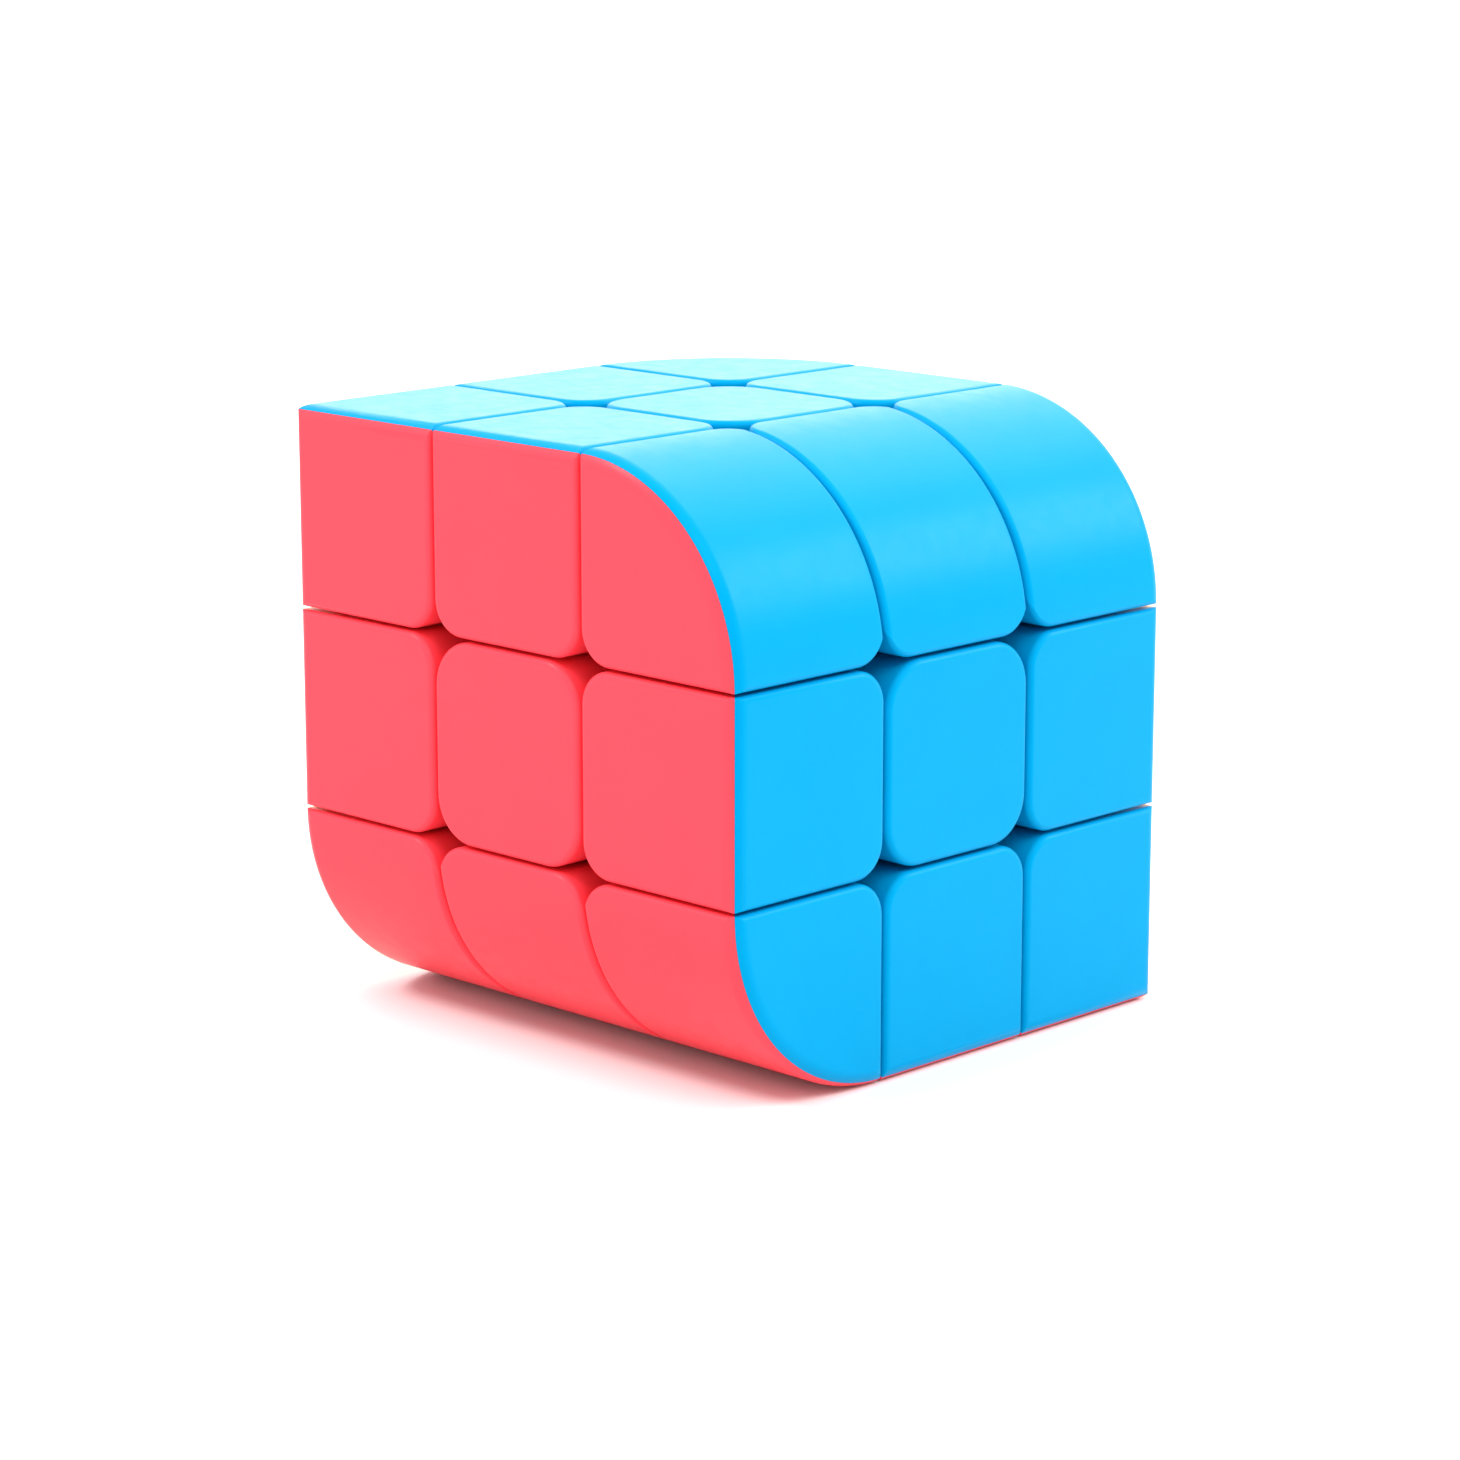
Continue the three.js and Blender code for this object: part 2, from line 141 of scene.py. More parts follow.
# ---- Pegs that hold shells together ----
PEG_FIT = 0.2  # how much wider and deeper a socket is than its peg
EDGE_PEG_R = 1.1
EDGE_PEG_LENGTH = 1.8
EDGE_PEG_OUT = 12.4  # from the core's centre, along the mitre
EDGE_PEG_ALONG = 2.1  # from the middle of the edge
POST_AT = CUT + 5.7  # along local X and Y
POST_R = 2.6
POST_TOP = 23
POST_PEG_R = 1.3
POST_PEG_START = 19.5
VENT_R = 2

# ---- Fineness of the meshes ----
BEND_STEPS = 48  # per quarter turn of a rounded edge
ROUND_STEPS = 12  # per quarter turn of a small rounding
RIM_STEPS = 8
TURNED_SIDES = 48
THREAD_SIDES = 24
THREAD_STEPS = 8  # per turn of the thread
PEG_SIDES = 24
WIRE_SIDES = 12
WIRE_STEPS = 40  # per turn of the spring
BALL_DETAIL = 5  # subdivisions of an icosphere
SHARP_ANGLE = math.radians(38)  # edges that turn more than this are shaded sharp

# ---- Camera, light and floor, in metres and watts ----
AZIMUTH = math.radians(44.45)  # from the front face towards the right one
ELEVATION = math.radians(12.69)
DISTANCE = 0.389
AIM_BELOW = 0.0022  # how far below the puzzle's centre the camera looks
CLIP_START = 0.01
FOCAL_LENGTH = 104.6  # in millimetres, like the sensor's width
SENSOR_WIDTH = 36
WORLD_STRENGTH = 1.06  # just enough for a white background
FLOOR_REACH = 1.0  # from the floor's middle to its sides
FLOOR_COLOUR = (0.8, 0.8, 0.8)
FLOOR_ROUGHNESS = 0.9
# Each softbox's location, width and power.
SOFTBOXES = {
    "key": ((-0.5, -0.58, 0.85), 0.3, 7),
    "back_right": ((0.64, 0.84, 0.58), 0.5, 6.5),
    "back_high": ((-0.2, 0.9, 0.9), 0.9, 4),
    "back_left": ((-1.0, 1.05, 0.45), 0.9, 3.5),
    "upper_right": ((0.65, -0.27, 0.97), 0.7, 6.5),
}

# ---- Colours, in linear red, green and blue ----
CORE_COLOUR = (0.016, 0.016, 0.018)
CORE_MOTTLE = (0.009, 0.009, 0.01)
FAINT_GLOSS = 0.1  # specular level of the floor and the coloured plastic
# Each coloured plastic's colour, and the tint of its shine.
PLASTICS = {
    "blue_plastic": ((0.0, 0.295, 0.58), (0.1, 0.6, 1)),
    "red_plastic": ((0.97, 0.06, 0.085), (1, 0.8, 0.8)),
    "yellow_plastic": ((0.93, 0.45, 0.005), (1, 0.9, 0.5)),
}
# Each steel's colour, and how its drawing marks are stretched.
STEELS = {
    "screw_steel": ((0.62, 0.63, 0.65), (1, 1, 0.1)),
    "spring_steel": ((0.5, 0.52, 0.55), (0.3, 0.3, 1)),
}
# Most of a noise texture's values lie between these.
NOISE_LOW = 0.3
NOISE_HIGH = 0.7

# Each face's direction and colour.
FACES = {
    "right": (Vector((1, 0, 0)), "blue"),
    "left": (Vector((-1, 0, 0)), "yellow"),
    "back": (Vector((0, 1, 0)), "yellow"),
    "front": (Vector((0, -1, 0)), "red"),
    "top": (Vector((0, 0, 1)), "blue"),
    "bottom": (Vector((0, 0, -1)), "red"),
}


# ---- The studio ----
def add_camera():
    """A camera in front of the edge between front and right, a little above it."""
    data = bpy.data.cameras.new("camera")
    data.lens = FOCAL_LENGTH
    data.sensor_width = SENSOR_WIDTH
    data.clip_start = CLIP_START
    camera = bpy.data.objects.new("camera", data)
    bpy.context.collection.objects.link(camera)
    level = math.cos(ELEVATION)
    back = Vector((math.sin(AZIMUTH) * level, -math.cos(AZIMUTH) * level, math.sin(ELEVATION)))
    camera.rotation_euler = back.to_track_quat("Z", "Y").to_euler()
    up = camera.rotation_euler.to_matrix() @ Vector((0, 1, 0))
    camera.location = back * DISTANCE - up * AIM_BELOW
    bpy.context.scene.camera = camera


def add_world():
    """White light from all round, which is also the background."""
    world = bpy.data.worlds.new("studio")
    world.use_nodes = True
    background = world.node_tree.nodes["Background"]
    background.inputs["Color"].default_value = (1, 1, 1, 1)
    background.inputs["Strength"].default_value = WORLD_STRENGTH
    bpy.context.scene.world = world
    bpy.context.scene.view_settings.view_transform = "Standard"


def add_softbox(name, location, width, power):
    """A round soft light that faces the origin."""
    data = bpy.data.lights.new(name, "AREA")
    data.shape = "DISK"
    data.size = width
    data.energy = power
    light = bpy.data.objects.new(name, data)
    light.location = location
    light.rotation_euler = Vector(location).to_track_quat("Z", "Y").to_euler()
    bpy.context.collection.objects.link(light)


def add_floor():
    reach = FLOOR_REACH
    corners = [(-reach, -reach), (reach, -reach), (reach, reach), (-reach, reach)]
    mesh = bpy.data.meshes.new("floor")
    mesh.from_pydata([(x, y, -HALF * MM) for x, y in corners], [], [(0, 1, 2, 3)])
    floor = bpy.data.objects.new("floor", mesh)
    bpy.context.collection.objects.link(floor)
    material = bpy.data.materials.new("floor_white")
    material.use_nodes = True
    shader = material.node_tree.nodes["Principled BSDF"]
    shader.inputs["Base Color"].default_value = (*FLOOR_COLOUR, 1)
    shader.inputs["Roughness"].default_value = FLOOR_ROUGHNESS
    shader.inputs["Specular IOR Level"].default_value = FAINT_GLOSS
    mesh.materials.append(material)


# ---- Materials ----
class Nodes:
    """A new material's node tree, with short ways to add nodes and join them."""

    def __init__(self, name):
        self.material = bpy.data.materials.new(name)
        self.material.use_nodes = True
        self.tree = self.material.node_tree
        self.shader = self.tree.nodes["Principled BSDF"]
        self.position = self.add("ShaderNodeTexCoord").outputs["Object"]

    def add(self, kind, **values):
        node = self.tree.nodes.new(kind)
        for name, value in values.items():
            setattr(node, name, value)
        return node

    def link(self, source, target):
        self.tree.links.new(source, target)

    def noise(self, size, detail, stretch=(1, 1, 1)):
        """Noise with features of this size in metres, drawn out along an axis of low stretch."""
        mapping = self.add("ShaderNodeMapping")
        mapping.inputs["Scale"].default_value = [factor / size for factor in stretch]
        self.link(self.position, mapping.inputs["Vector"])
        node = self.add("ShaderNodeTexNoise")
        node.inputs["Scale"].default_value = 1
        node.inputs["Detail"].default_value = detail
        self.link(mapping.outputs["Vector"], node.inputs["Vector"])
        return node.outputs["Fac"]

    def spread(self, source, low, high):
        """The middle of a noise's range, mapped to low and high."""
        node = self.add("ShaderNodeMapRange")
        node.inputs["From Min"].default_value = NOISE_LOW
        node.inputs["From Max"].default_value = NOISE_HIGH
        node.inputs["To Min"].default_value = low
        node.inputs["To Max"].default_value = high
        self.link(source, node.inputs["Value"])
        return node.outputs["Result"]

    def colour(self, source, low, high):
        """The base colour, between two colours by a noise."""
        node = self.add("ShaderNodeMix", data_type="RGBA")
        node.inputs["A"].default_value = (*low, 1)
        node.inputs["B"].default_value = (*high, 1)
        self.link(self.spread(source, 0, 1), node.inputs["Factor"])
        self.link(node.outputs["Result"], self.shader.inputs["Base Color"])

    def roughness(self, source, low, high):
        """The roughness, between two values by a noise."""
        self.link(self.spread(source, low, high), self.shader.inputs["Roughness"])

    def bump(self, *layers):
        """The normal, from height layers that are each a noise and its depth in metres."""
        normal = None
        for source, depth in layers:
            node = self.add("ShaderNodeBump")
            node.inputs["Distance"].default_value = depth
            self.link(source, node.inputs["Height"])
            if normal:
                self.link(normal, node.inputs["Normal"])
            normal = node.outputs["Normal"]
        self.link(normal, self.shader.inputs["Normal"])


def darker(colour, share):
    """A colour with a share of black in it."""
    return [channel * (1 - share) for channel in colour]


def moulded_plastic(name, colour, shine):
    """Smooth coloured plastic: faint flow marks, a fine satin grain and a soft shine."""
    nodes = Nodes(name)
    flow = nodes.noise(size=7 * MM, detail=3)
    haze = nodes.noise(size=1.6 * MM, detail=4)
    grain = nodes.noise(size=0.09 * MM, detail=2)
    nodes.colour(flow, low=darker(colour, share=0.03), high=colour)
    nodes.roughness(haze, low=0.3, high=0.37)
    nodes.bump((flow, 0.02 * MM), (grain, 0.0012 * MM))
    nodes.shader.inputs["Specular IOR Level"].default_value = FAINT_GLOSS
    nodes.shader.inputs["Specular Tint"].default_value = (*shine, 1)
    return nodes.material


def core_plastic():
    """Matte black nylon, slightly mottled, with a spark-eroded texture."""
    nodes = Nodes("core_plastic")
    mottle = nodes.noise(size=2.5 * MM, detail=4)
    texture = nodes.noise(size=0.12 * MM, detail=3)
    nodes.colour(mottle, low=CORE_MOTTLE, high=CORE_COLOUR)
    nodes.roughness(texture, low=0.5, high=0.65)
    nodes.bump((texture, 0.01 * MM))
    return nodes.material


def plated_steel(name, colour, stretch):
    """Bright plated steel with fine drawing marks, and dull patches in the plating."""
    nodes = Nodes(name)
    cloud = nodes.noise(size=1.2 * MM, detail=3)
    marks = nodes.noise(size=0.05 * MM, detail=2, stretch=stretch)
    nodes.colour(cloud, low=darker(colour, share=0.15), high=colour)
    nodes.roughness(cloud, low=0.2, high=0.34)
    nodes.bump((marks, 0.004 * MM))
    nodes.shader.inputs["Metallic"].default_value = 1
    return nodes.material


def make_materials():
    """The material of each slot of the CAD part."""
    materials = {}
    for name, (colour, shine) in PLASTICS.items():
        materials[name] = moulded_plastic(name, colour, shine)
    materials["core_plastic"] = core_plastic()
    for name, (colour, stretch) in STEELS.items():
        materials[name] = plated_steel(name, colour, stretch)
    return materials


# ---- Closed meshes, joined and cut ----
def closed_mesh(vertices, faces):
    """A mesh whose faces all point outwards."""
    mesh = bpy.data.meshes.new("shape")
    mesh.from_pydata(vertices, [], faces)
    shape = bmesh.new()
    shape.from_mesh(mesh)
    bmesh.ops.recalc_face_normals(shape, faces=shape.faces)
    shape.to_mesh(mesh)
    shape.free()
    return mesh


def evaluated(holder):
    """The object's mesh with its modifiers applied. The object itself is removed."""
    depsgraph = bpy.context.evaluated_depsgraph_get()
    mesh = bpy.data.meshes.new_from_object(holder.evaluated_get(depsgraph))
    bpy.data.objects.remove(holder)
    return mesh


def linked_object(name, mesh):
    holder = bpy.data.objects.new(name, mesh)
    bpy.context.collection.objects.link(holder)
    return holder


def combine(operation, first, others):
    """The first mesh, joined with, cut down to or cut by each of the others in turn."""
    holder = linked_object("combined", first)
    tools = [linked_object("tool", other) for other in others]
    for tool in tools:
        modifier = holder.modifiers.new("combine", "BOOLEAN")
        modifier.operation = operation
        modifier.solver = "MANIFOLD"
        modifier.object = tool
    mesh = evaluated(holder)
    for tool in tools:
        bpy.data.objects.remove(tool)
    return mesh


def joined(first, *others):
    return combine("UNION", first, others)


def common(first, *others):
    return combine("INTERSECT", first, others)


def cut(first, *others):
    return combine("DIFFERENCE", first, others)


def moved(mesh, matrix):
    """A copy of the mesh, moved."""
    copy = mesh.copy()
    copy.transform(matrix)
    return copy


def ring_faces(rings, sides):
    """Faces round and between rings of vertices, with the first and last ring closed."""
    faces = [tuple(range(sides)), tuple((rings - 1) * sides + k for k in range(sides))]
    for ring in range(rings - 1):
        for k in range(sides):
            here = ring * sides
            after = here + sides
            step = (k + 1) % sides
            faces.append((here + k, here + step, after + step, after + k))
    return faces


def box(low, high):
    rim = [(low[0], low[1]), (high[0], low[1]), (high[0], high[1]), (low[0], high[1])]
    corners = [(x, y, z) for z in (low[2], high[2]) for x, y in rim]
    return closed_mesh(corners, ring_faces(2, len(rim)))


def wedge(*corners):
    """A prism along Z on a triangle in X and Y, as long as the puzzle."""
    vertices = [(x, y, z) for z in (-HALF, HALF) for x, y in corners]
    return closed_mesh(vertices, ring_faces(2, len(corners)))


def ball(radius):
    mesh = bpy.data.meshes.new("ball")
    shape = bmesh.new()
    bmesh.ops.create_icosphere(shape, subdivisions=BALL_DETAIL, radius=radius)
    shape.to_mesh(mesh)
    shape.free()
    return mesh


def turned(profile, sides=TURNED_SIDES):
    """A profile of radius and height, turned about Z. Its ends are flat."""
    vertices = []
    for radius, height in profile:
        for k in range(sides):
            angle = 2 * math.pi * k / sides
            vertices.append((radius * math.cos(angle), radius * math.sin(angle), height))
    return closed_mesh(vertices, ring_faces(len(profile), sides))


def bar(radius, low, high, sides=TURNED_SIDES):
    return turned([(radius, low), (radius, high)], sides)


def bar_along(direction, radius, low, high):
    """A bar along a direction, between two distances from the origin."""
    turn = Vector(direction).to_track_quat("Z", "Y").to_matrix().to_4x4()
    return moved(bar(radius, low, high, PEG_SIDES), turn)


# ---- Prisms with rounded outlines and rounded ends ----
# An outline across X runs in Y and Z, one across Y in Z and X, and one across Z in X and Y.
TO_AXIS = {
    "x": Matrix(((0, 0, 1), (1, 0, 0), (0, 1, 0))).to_4x4(),
    "y": Matrix(((0, 1, 0), (0, 0, 1), (1, 0, 0))).to_4x4(),
    "z": Matrix.Identity(4),
}


def outline(low, high, radii, inset):
    """A rectangle drawn in by an inset, with a radius at each corner, from its low corner round."""
    corners = [
        (low[0], low[1], 1, 1),
        (high[0], low[1], -1, 1),
        (high[0], high[1], -1, -1),
        (low[0], high[1], 1, -1),
    ]
    points = []
    for quarter, (u, v, in_u, in_v) in enumerate(corners):
        radius = radii[quarter]
        if not radius:
            points.append((u + in_u * inset, v + in_v * inset))
            continue
        steps = BEND_STEPS if radius > CUT else ROUND_STEPS
        for step in range(steps + 1):
            angle = math.pi + (quarter + step / steps) * math.pi / 2
            across = (radius - inset) * math.cos(angle)
            along = (radius - inset) * math.sin(angle)
            points.append((u + in_u * radius + across, v + in_v * radius + along))
    return points


def rounded_end(end, radius, outward):
    """Heights and insets up to a rounded end, where outward is 1 or -1 along the axis."""
    if not radius:
        return [(end, 0)]
    stations = []
    for step in range(RIM_STEPS + 1):
        angle = step / RIM_STEPS * math.pi / 2
        height = end - outward * radius * (1 - math.sin(angle))
        stations.append((height, radius * (1 - math.cos(angle))))
    return stations


def prism(low, high, radii, across, start, end, start_round=0, end_round=0):
    """An outline extruded across an axis from start to end, with its two rims rounded over."""
    stations = rounded_end(start, start_round, -1)[::-1] + rounded_end(end, end_round, 1)
    vertices = []
    for height, inset in stations:
        points = outline(low, high, radii, inset)
        vertices += [(u, v, height) for u, v in points]
    mesh = closed_mesh(vertices, ring_faces(len(stations), len(points)))
    mesh.transform(TO_AXIS[across])
    return mesh


def far_prism(far, corner, start, end, start_round=0, end_round=0, across="z"):
    """A prism from the origin out to two faces, with the corner between them rounded."""
    return prism((0, 0), (far, far), (0, 0, corner, 0), across, start, end, start_round, end_round)


# ---- Edge: local +X and +Y are its two faces, and it runs along Z ----
def edge_skin(bend):
    """The outside of an edge, with its rims rounded over."""
    beyond = HALF + MARGIN
    rounds = (HOLE_ROUND, 0, 0, HOLE_ROUND)
    facing_x = prism((NEAR, -SIDE), (beyond, SIDE), rounds, "x", 0, HALF, 0, RIM)
    rounds = (HOLE_ROUND, HOLE_ROUND, 0, 0)
    facing_y = prism((-SIDE, NEAR), (SIDE, beyond), rounds, "y", 0, HALF, 0, RIM)
    if bend:
        return common(facing_x, facing_y, far_prism(HALF, bend, -SIDE, SIDE, RIM, RIM))
    return common(facing_x, facing_y, far_prism(HALF, ARRIS, -HALF, HALF))


def edge_hook():
    """The part inside the outer sphere, which the centres and corners hook on to."""
    neck = box((NEAR, NEAR, -FOOT_SIDE), (OUTER_R, OUTER_R, FOOT_SIDE))
    foot = box((FOOT_NEAR, FOOT_NEAR, -FOOT_SIDE), (OUTER_R, OUTER_R, FOOT_SIDE))
    ankle = box((FOOT_NEAR, FOOT_NEAR, -TIP_SIDE), (INNER_R, INNER_R, TIP_SIDE))
    tip = box((TIP_NEAR, TIP_NEAR, -TIP_SIDE), (INNER_R, INNER_R, TIP_SIDE))
    upper = joined(
        common(neck, ball(OUTER_R + OVERLAP)),
        common(foot, ball(OUTER_R - BALL_CLEAR)),
    )
    return joined(
        cut(upper, ball(INNER_R + BALL_CLEAR)),
        common(ankle, ball(INNER_R + 2 * OVERLAP)),
        common(tip, ball(INNER_R - BALL_CLEAR)),
    )


def edge_hollow(bend):
    """The space behind the walls, clear of the outer sphere, and its way down into the hook."""
    low = (HOLLOW_NEAR, HOLLOW_NEAR, -HOLLOW_SIDE)
    space = box(low, (HOLLOW_FAR, HOLLOW_FAR, HOLLOW_SIDE))
    if bend:
        space = common(space, far_prism(HOLLOW_FAR, bend - WALL, -HALF, HALF))
    start = (OUTER_R + WALL) * math.sqrt(2)
    behind = wedge((-start, -start), (2 * start, -start), (-start, 2 * start))
    high = OUTER_R - WALL
    side = FOOT_SIDE - WALL
    way_down = box((HOLLOW_NEAR, HOLLOW_NEAR, -side), (high, high, side))
    return joined(cut(space, behind), way_down)


def edge_body(bend):
    """A whole edge, hollow, with no seam or pegs."""
    whole = joined(cut(edge_skin(bend), ball(OUTER_R + BALL_CLEAR)), edge_hook())
    return cut(whole, edge_hollow(bend))


def edge_pin(radius, low, high, along):
    """A pin across the plane where an edge's halves meet, from low to high towards local +X."""
    out = EDGE_PEG_OUT / math.sqrt(2)
    pin = bar_along((1, -1, 0), radius, low, high)
    pin.transform(Matrix.Translation((out, out, along)))
    return pin


def edge_half():
    """Half of an edge, on the side of its +X face. Turned over, the same half is the +Y one."""
    seam = SEAM * math.sqrt(2)
    reach = 2 * HALF
    own_side = wedge((seam, 0), (seam + reach, 0), (seam + reach, reach))
    peg = edge_pin(EDGE_PEG_R, -EDGE_PEG_LENGTH, WALL, EDGE_PEG_ALONG)
    socket = edge_pin(EDGE_PEG_R + PEG_FIT, -WALL, EDGE_PEG_LENGTH + PEG_FIT, -EDGE_PEG_ALONG)
    return cut(joined(common(edge_body(0), own_side), peg), socket)


def rounded_edge():
    """An edge in one colour, hollowed through a vent in its foot."""
    return cut(edge_body(BEND_R), bar_along((1, 1, 0), VENT_R, 0, OUTER_R + WALL))


# ---- Corner: local +X, +Y and +Z are its faces, and a rounded edge may join +X and +Y ----
def corner_skin(bend):
    """The outside of a corner, with its rims rounded over."""
    beyond = HALF + MARGIN
    tiles = [
        prism((NEAR, NEAR), (beyond, beyond), (HOLE_ROUND, 0, 0, 0), axis, 0, HALF, 0, RIM)
        for axis in "xyz"
    ]
    if bend:
        return common(*tiles, far_prism(HALF, bend, NEAR, HALF, RIM, ARRIS))
    return common(*tiles, *[far_prism(HALF, ARRIS, 0, beyond, across=axis) for axis in "xyz"])


def corner_body(bend):
    """A whole corner, hollow, with no seams or posts."""
    foot = box((FOOT_NEAR,) * 3, (OUTER_R,) * 3)
    whole = joined(corner_skin(bend), common(foot, ball(OUTER_R - BALL_CLEAR)))
    hollow = box((HOLLOW_NEAR,) * 3, (HOLLOW_FAR,) * 3)
    if bend:
        hollow = common(hollow, far_prism(HOLLOW_FAR, bend - WALL, 0, HALF))
    return cut(whole, ball(INNER_R + BALL_CLEAR), hollow)


def cone_mitre(offset):
    """The cone from the inner corner through the +Z face's rim, moved up by an offset."""
    height = 2 * HALF
    cone = turned([(OVERLAP, OVERLAP), (height, height)], 4 * BEND_STEPS)
    lift = CUT + offset * math.sqrt(2)
    return moved(cone, Matrix.Translation((CUT, CUT, lift)))


def corner_shell():
    """The shell that carries the rounded surface, the foot and a post."""
    cap_side = cut(cone_mitre(-SEAM), ball(OUTER_R - SEAM))
    beside = Matrix.Translation((POST_AT, POST_AT, 0))
    post = moved(bar(POST_R, HOLLOW_NEAR - OVERLAP, POST_TOP), beside)
    socket = moved(bar(POST_PEG_R + PEG_FIT, POST_PEG_START - OVERLAP, HALF), beside)
    return cut(joined(cut(corner_body(BEND_R), cap_side), post), socket)


def corner_cap():
    """The cap that carries the flat +Z face, with a peg for the post."""
    cap_side = cut(cone_mitre(SEAM), ball(OUTER_R + SEAM))
    beside = Matrix.Translation((POST_AT, POST_AT, 0))
    peg = moved(bar(POST_PEG_R, POST_PEG_START, HOLLOW_FAR + OVERLAP), beside)
    return joined(common(corner_body(BEND_R), cap_side), peg)


def pyramid_mitre(offset):
    """The pyramid round +Z, with its sides halfway between faces, moved up by an offset."""
    reach = 2 * HALF
    tip = Vector((0, 0, offset * math.sqrt(2)))
    rim = [(-1, -1), (1, -1), (1, 1), (-1, 1)]
    base = [tip + Vector((x * reach, y * reach, reach)) for x, y in rim]
    faces = [(0, 1, 2, 3)] + [(k, (k + 1) % 4, 4) for k in range(4)]
    return closed_mesh([*base, tip], faces)


def sharp_corner_body():
    """A whole sharp corner, hollowed through a vent in its foot."""
    return cut(corner_body(0), bar_along((1, 1, 1), VENT_R, 0, OUTER_R))


def sharp_corner_shell():
    """One colour's shell, behind the +Z face, that also carries the foot."""
    return common(sharp_corner_body(), joined(pyramid_mitre(SEAM), ball(OUTER_R - SEAM)))


def sharp_corner_cap():
    """One colour's shell, behind the +Z face, with no foot."""
    return common(sharp_corner_body(), cut(pyramid_mitre(SEAM), ball(OUTER_R + SEAM)))


# ---- Centre: local +Z is its face ----
def square(side, radius, start, end, end_round=0):
    """A square prism round Z, out to a side and with rounded corners."""
    return prism((-side, -side), (side, side), (radius,) * 4, "z", start, end, 0, end_round)


def centre_base():
    """The stem, the two steps that hold the edges and corners, and the spring's well."""
    body = joined(
        cut(square(SIDE, CENTRE_ROUND, OUTER_R / 2, BASE_TOP), ball(OUTER_R + BALL_CLEAR)),
        cut(square(FOOT_SIDE, 0, INNER_R / 2, BASE_TOP), ball(INNER_R + BALL_CLEAR)),
        bar(TIP_SIDE, STEM_START, INNER_R + WALL),
    )
    return cut(
        body,
        bar(SHANK_HOLE_R, 0, WELL_FLOOR + OVERLAP),
        bar(WELL_R, WELL_FLOOR, HALF),
        bar(SOCKET_R, SOCKET_FLOOR, HALF),
    )


def centre_cap():
    """The tile, with a skirt that clips into the base."""
    under = HALF - LID_WALL
    lid = square(SIDE, CENTRE_ROUND, LID_START, HALF, RIM)
    hollow = square(HOLLOW_SIDE, CENTRE_ROUND - WALL, 0, under)
    skirt = bar(SKIRT_R, SKIRT_START, under + OVERLAP)
    return cut(joined(cut(lid, hollow), skirt), bar(SKIRT_R - SKIRT_WALL, 0, under))


# ---- Core, screw and spring ----
def core():
    """A ball with an arm to each face, and a pilot hole in each arm."""
    arm = turned([(ARM_R, 0), (ARM_R, ARM_END - MOUTH), (ARM_R - MOUTH, ARM_END)])
    pilot = turned([
        (PILOT_R, PILOT_END),
        (PILOT_R, ARM_END - MOUTH),
        (PILOT_R + 2 * MOUTH, ARM_END + MOUTH),
    ])
    turns = [
        normal.to_track_quat("Z", "Y").to_matrix().to_4x4() for normal, _ in FACES.values()
    ]
    arms = [moved(arm, turn) for turn in turns]
    pilots = [moved(pilot, turn) for turn in turns]
    return cut(joined(ball(HUB_R), *arms), *pilots)


def threaded_shank():
    """The lower end of the shank, with its thread, from the blunt tip up."""
    rings = math.ceil((THREAD_END - SHANK_START) / THREAD_PITCH * THREAD_STEPS)
    vertices = []
    for ring in range(rings + 1):
        height = SHANK_START + (THREAD_END - SHANK_START) * ring / rings
        taper = min(1, (height - SHANK_START) / SHANK_TIP)
        run_out = min(1, (THREAD_END - height) / THREAD_PITCH)
        for k in range(THREAD_SIDES):
            turn = k / THREAD_SIDES
            phase = ((height - SHANK_START) / THREAD_PITCH - turn) % 1
            depth = THREAD_DEPTH * abs(2 * phase - 1)
            threaded = THREAD_CREST_R - depth
            radius = SHANK_R + (threaded - SHANK_R) * run_out
            radius = SHANK_TIP_R + (radius - SHANK_TIP_R) * taper
            angle = 2 * math.pi * turn
            vertices.append((radius * math.cos(angle), radius * math.sin(angle), height))
    return closed_mesh(vertices, ring_faces(rings + 1, THREAD_SIDES))


def screw():
    """A pan-head screw with a cross recess."""
    shank = bar(SHANK_R, THREAD_END, HEAD_SEAT + OVERLAP, THREAD_SIDES)
    head = turned([
        (HEAD_R - MOUTH / 2, HEAD_SEAT),
        (HEAD_R, HEAD_SEAT + MOUTH / 2),
        (HEAD_R, HEAD_RIM),
        (HEAD_FLAT_R + MOUTH, HEAD_TOP - MOUTH / 2),
        (HEAD_FLAT_R, HEAD_TOP),
    ])
    length = DRIVE_LENGTH / 2
    width = DRIVE_WIDTH / 2
    floor = HEAD_TOP - DRIVE_DEPTH
    blank = joined(threaded_shank(), shank, head)
    return cut(
        blank,
        box((-length, -width, floor), (length, width, HALF)),
        box((-width, -length, floor), (width, length, HALF)),
    )


def spring():
    """A wire wound round Z, with its end coils lying closer."""
    low = WELL_FLOOR + SPRING_GAP + WIRE_R
    high = HEAD_SEAT - SPRING_GAP - WIRE_R
    rings = SPRING_TURNS * WIRE_STEPS
    vertices = []
    for ring in range(rings + 1):
        share = ring / rings
        angle = share * SPRING_TURNS * 2 * math.pi
        rise = share - COIL_CLOSING * math.sin(2 * math.pi * share)
        out = Vector((math.cos(angle), math.sin(angle), 0))
        middle = out * SPRING_R + Vector((0, 0, low + (high - low) * rise))
        for k in range(WIRE_SIDES):
            turn = 2 * math.pi * k / WIRE_SIDES
            round_wire = out * math.cos(turn) + Vector((0, 0, math.sin(turn)))
            vertices.append(middle + round_wire * WIRE_R)
    return closed_mesh(vertices, ring_faces(rings + 1, WIRE_SIDES))


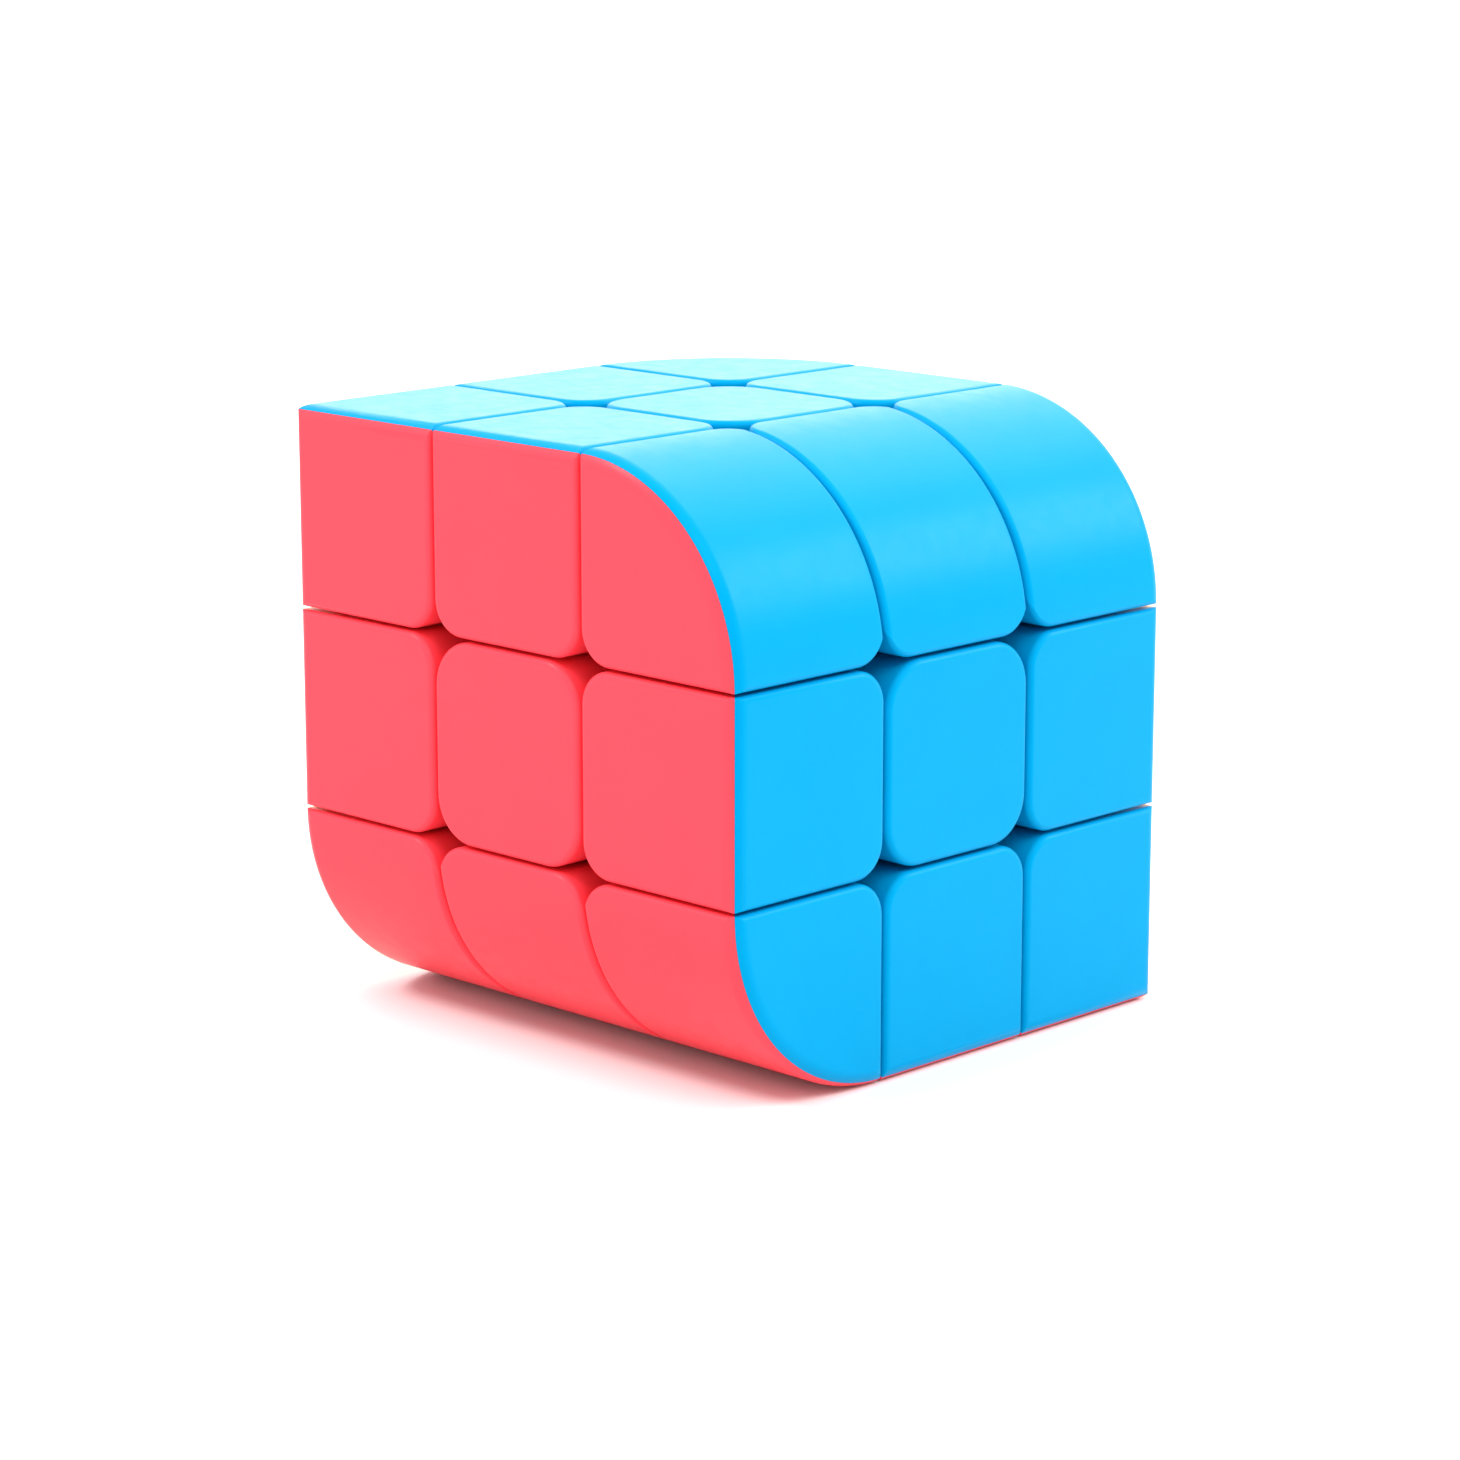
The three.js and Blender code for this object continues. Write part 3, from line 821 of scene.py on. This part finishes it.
# ---- The assembly ----
def shaded(mesh):
    """The mesh with smooth shading, and flat faces that stay flat up to their roundings."""
    mesh.shade_smooth()
    mesh.set_sharp_from_angle(angle=SHARP_ANGLE)
    holder = linked_object("shaded", mesh)
    modifier = holder.modifiers.new("weights", "WEIGHTED_NORMAL")
    modifier.mode = "FACE_AREA"
    modifier.keep_sharp = True
    return evaluated(holder)


def place(node, name, mesh, slot, x, y, body):
    """Puts a copy of a shape in a CAD node's place, with its local X and Y along x and y."""
    turn = Matrix((x, y, x.cross(y))).transposed().to_4x4()
    own = moved(mesh, Matrix.Scale(MM, 4) @ turn)
    own.materials.clear()
    own.materials.append(MATERIALS[slot])
    piece = linked_object(name, own)
    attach(piece, body)
    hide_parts(node)
    return piece


def place_plastic(node, mesh, face, x, y, body):
    """Puts a moulding in its node's place, in a face's colour."""
    place(node, f"{node}_finished", mesh, f"{FACES[face][1]}_plastic", x, y, body)


def add_centre(face):
    """A face's centre, with its screw and spring."""
    normal = FACES[face][0]
    x = Vector((normal.y, normal.z, normal.x))
    y = normal.cross(x)
    body = f"centre_{face}"
    place_plastic(f"{body}_base", SHAPES["centre_base"], face, x, y, body)
    place_plastic(f"{body}_cap", SHAPES["centre_cap"], face, x, y, body)
    node = f"screw_{face}"
    place(node, f"{node}_finished", SHAPES["screw"], "screw_steel", x, y, "core")
    node = f"spring_{face}"
    piece = place(node, f"{node}_finished", SHAPES["spring"], "spring_steel", x, y, f"{face}_layer")
    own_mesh(piece)


def is_bend(a, b):
    """A rounded edge lies between each two faces of one colour."""
    return FACES[a][1] == FACES[b][1]


def add_edge(a, b):
    """The edge between two faces: one moulding where they share a colour, or two halves."""
    body = f"edge_{a}_{b}"
    x = FACES[a][0]
    y = FACES[b][0]
    if is_bend(a, b):
        place_plastic(body, SHAPES["rounded_edge"], a, x, y, body)
        return
    place_plastic(f"{body}_{FACES[a][1]}_half", SHAPES["edge_half"], a, x, y, body)
    place_plastic(f"{body}_{FACES[b][1]}_half", SHAPES["edge_half"], b, y, x, body)


def right_handed(p, q, r):
    """Two of three directions, in the order that makes all three right-handed."""
    return (p, q) if p.cross(q).dot(r) > 0 else (q, p)


def add_curved_corner(body, flat, bent):
    """A shell for the two faces that are bent into one, and a cap for the flat one."""
    x, y = right_handed(FACES[bent[0]][0], FACES[bent[1]][0], FACES[flat][0])
    node = f"{body}_{FACES[bent[0]][1]}_shell"
    place_plastic(node, SHAPES["corner_shell"], bent[0], x, y, body)
    node = f"{body}_{FACES[flat][1]}_cap"
    place_plastic(node, SHAPES["corner_cap"], flat, x, y, body)


def add_sharp_corner(body, faces):
    """Three shells of three colours, the first with the foot, that stand for one CAD node."""
    cap = SHAPES["sharp_corner_cap"]
    shapes = [SHAPES["sharp_corner_shell"], cap, cap]
    for face, shape in zip(faces, shapes):
        normal, colour = FACES[face]
        others = [FACES[other][0] for other in faces if other != face]
        x, y = right_handed(*others, normal)
        place(body, f"{body}_{colour}_finished", shape, f"{colour}_plastic", x, y, body)


def add_corner(*faces):
    """The corner between three faces, of which two may share a colour."""
    body = f"corner_{'_'.join(faces)}"
    for flat in faces:
        bent = [face for face in faces if face != flat]
        if is_bend(*bent):
            add_curved_corner(body, flat, bent)
            return
    add_sharp_corner(body, faces)


def add_core():
    x = FACES["right"][0]
    y = FACES["back"][0]
    place("core", "core_finished", SHAPES["core"], "core_plastic", x, y, "core")


def make_shapes():
    """Each kind of piece, by the name of the function that makes it."""
    makers = [centre_base, centre_cap, edge_half, rounded_edge, corner_shell, corner_cap,
              sharp_corner_shell, sharp_corner_cap, core, screw, spring]
    return {maker.__name__: shaded(maker()) for maker in makers}


# ---- The scene ----
add_camera()
add_world()
for name, (location, width, power) in SOFTBOXES.items():
    add_softbox(name, location, width, power)
add_floor()
MATERIALS = make_materials()
SHAPES = make_shapes()
add_core()
for face in FACES:
    add_centre(face)
for depth in ("front", "back"):
    for side in ("left", "right"):
        add_edge(depth, side)
for level in ("top", "bottom"):
    for side in ("front", "back", "left", "right"):
        add_edge(level, side)
    for depth in ("front", "back"):
        for side in ("left", "right"):
            add_corner(level, depth, side)
